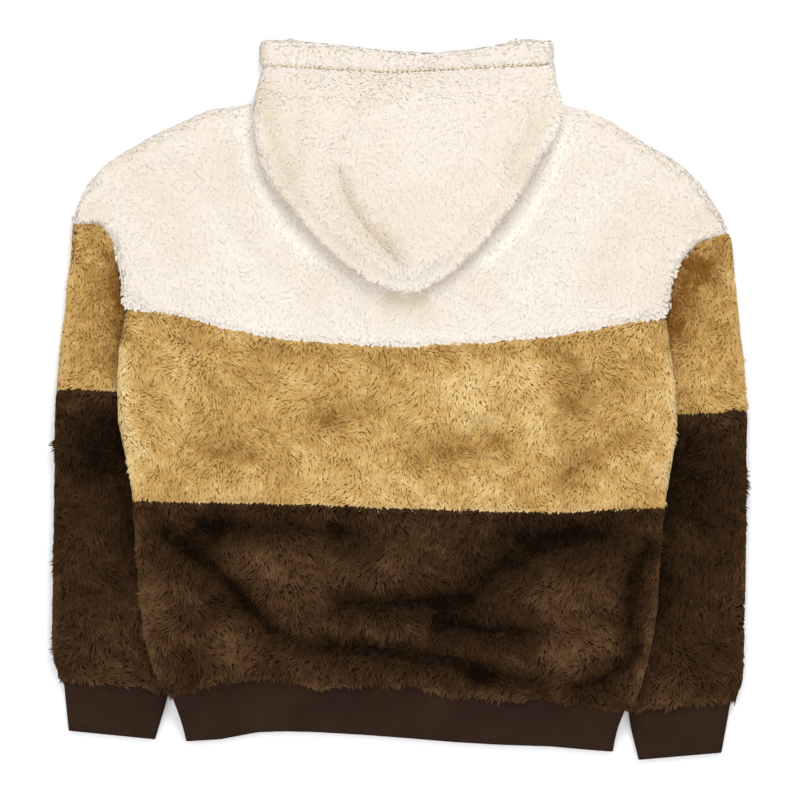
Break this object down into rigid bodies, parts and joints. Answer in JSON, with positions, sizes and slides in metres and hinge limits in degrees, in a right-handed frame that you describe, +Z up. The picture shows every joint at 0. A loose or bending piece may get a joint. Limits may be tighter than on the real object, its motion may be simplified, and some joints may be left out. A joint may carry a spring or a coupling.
{
  "type": "hooded sherpa fleece pullover",
  "caption": "Hooded sherpa fleece pullover laid flat with its back up: cream yoke and hood, tan middle, brown lower part, dropped two-tone sleeves, ribbed hem and cuffs",
  "frame": {"origin": "middle of the garment's outline, on the surface it lies on", "axes": "+Z up from the surface, +Y from the hem to the hood, +X to the right as the back of the garment is seen from above"},
  "size_m": [0.7804, 0.8106, 0.046],
  "materials": {
    "cream_fleece": "cream sherpa fleece with a long soft pile",
    "tan_fleece": "tan sherpa fleece with a long soft pile",
    "brown_fleece": "dark brown sherpa fleece with a long soft pile",
    "brown_rib": "dark brown fine knitted ribbing"
  },
  "bodies": {
    "root": {"front_yoke": "cream_fleece", "front_middle": "tan_fleece", "front_lower": "brown_fleece", "back_yoke": "cream_fleece", "back_middle": "tan_fleece", "back_lower": "brown_fleece", "hem_rib": "brown_rib", "sleeve_upper_left": "tan_fleece", "sleeve_lower_left": "brown_fleece", "sleeve_upper_right": "tan_fleece", "sleeve_lower_right": "brown_fleece", "cuff_left": "brown_rib", "cuff_right": "brown_rib", "hood_left": "cream_fleece", "hood_right": "cream_fleece", "hood_casing": "cream_fleece"}
  },
  "joints": []
}
